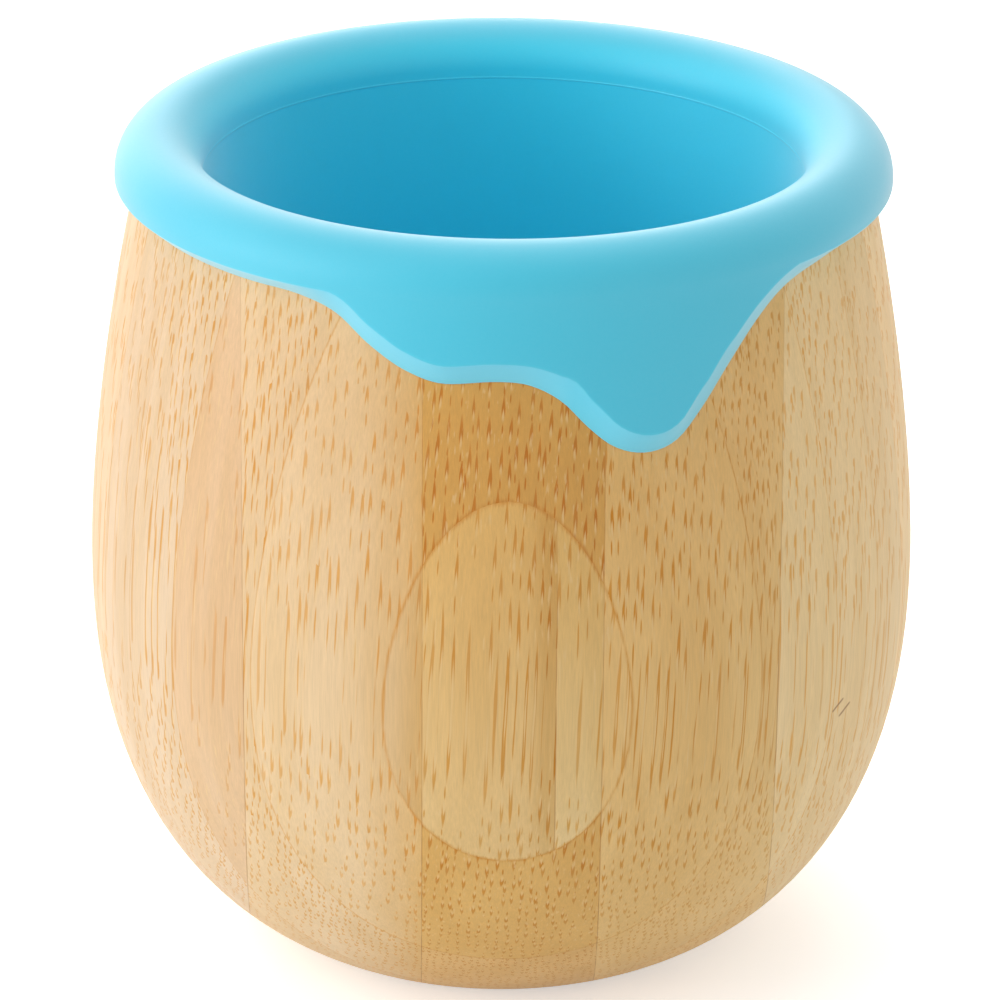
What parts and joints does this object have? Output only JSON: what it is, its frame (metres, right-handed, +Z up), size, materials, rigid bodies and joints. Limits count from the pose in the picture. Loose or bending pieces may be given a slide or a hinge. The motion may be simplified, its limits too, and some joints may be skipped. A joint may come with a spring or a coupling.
{
  "type": "cup",
  "caption": "Small round cup turned from glued bamboo strips, with a lift-out silicone liner whose rolled rim runs down the front in a drip.",
  "frame": {"origin": "centre of the flat foot, on the surface that the cup stands on", "axes": "+Z up along the turning axis, -Y towards the front with the longest drip, +X to the right seen from the front"},
  "size_m": [0.0852, 0.0852, 0.087],
  "materials": {
    "bamboo_peach": "satin",
    "bamboo_pale": "satin",
    "bamboo_golden": "satin",
    "bamboo_tan": "satin",
    "silicone": "matte"
  },
  "bodies": {
    "bamboo_body": {"strip_01_left": "bamboo_pale", "strip_01_middle": "bamboo_golden", "strip_01_right": "bamboo_golden", "strip_02_left": "bamboo_pale", "strip_02_middle": "bamboo_golden", "strip_02_right": "bamboo_golden", "strip_03_far_left": "bamboo_peach", "strip_03_far_right": "bamboo_tan", "strip_03_left": "bamboo_pale", "strip_03_middle": "bamboo_golden", "strip_03_right": "bamboo_golden", "strip_04_far_left": "bamboo_peach", "strip_04_far_right": "bamboo_tan", "strip_04_left": "bamboo_pale", "strip_04_middle": "bamboo_golden", "strip_04_right": "bamboo_golden", "strip_05_far_left": "bamboo_peach", "strip_05_far_right": "bamboo_tan", "strip_05_left": "bamboo_pale", "strip_05_middle": "bamboo_golden", "strip_05_right": "bamboo_golden", "strip_06_far_left": "bamboo_peach", "strip_06_far_right": "bamboo_tan", "strip_06_left": "bamboo_pale", "strip_06_middle": "bamboo_golden", "strip_06_right": "bamboo_golden", "strip_07_far_left": "bamboo_peach", "strip_07_far_right": "bamboo_tan", "strip_07_left": "bamboo_pale", "strip_07_middle": "bamboo_golden", "strip_07_right": "bamboo_golden", "strip_08_far_left": "bamboo_peach", "strip_08_far_right": "bamboo_tan", "strip_08_left": "bamboo_pale", "strip_08_middle": "bamboo_golden", "strip_08_right": "bamboo_golden", "strip_09_far_left": "bamboo_peach", "strip_09_far_right": "bamboo_tan", "strip_09_left": "bamboo_pale", "strip_09_middle": "bamboo_golden", "strip_09_right": "bamboo_golden", "strip_10_far_left": "bamboo_peach", "strip_10_far_right": "bamboo_tan", "strip_10_left": "bamboo_pale", "strip_10_middle": "bamboo_golden", "strip_10_right": "bamboo_golden", "strip_11_far_left": "bamboo_peach", "strip_11_far_right": "bamboo_tan", "strip_11_left": "bamboo_pale", "strip_11_middle": "bamboo_golden", "strip_11_right": "bamboo_golden", "strip_12_far_left": "bamboo_peach", "strip_12_far_right": "bamboo_tan", "strip_12_left": "bamboo_pale", "strip_12_middle": "bamboo_golden", "strip_12_right": "bamboo_golden", "strip_13_left": "bamboo_pale", "strip_13_middle": "bamboo_golden", "strip_13_right": "bamboo_golden"},
    "liner": {"silicone_liner": "silicone"}
  },
  "joints": [
    {"name": "liner_lift", "type": "slide", "parent": "bamboo_body", "child": "liner", "axis": [0, 0, 1], "range_m": [0, 0.1]}
  ]
}
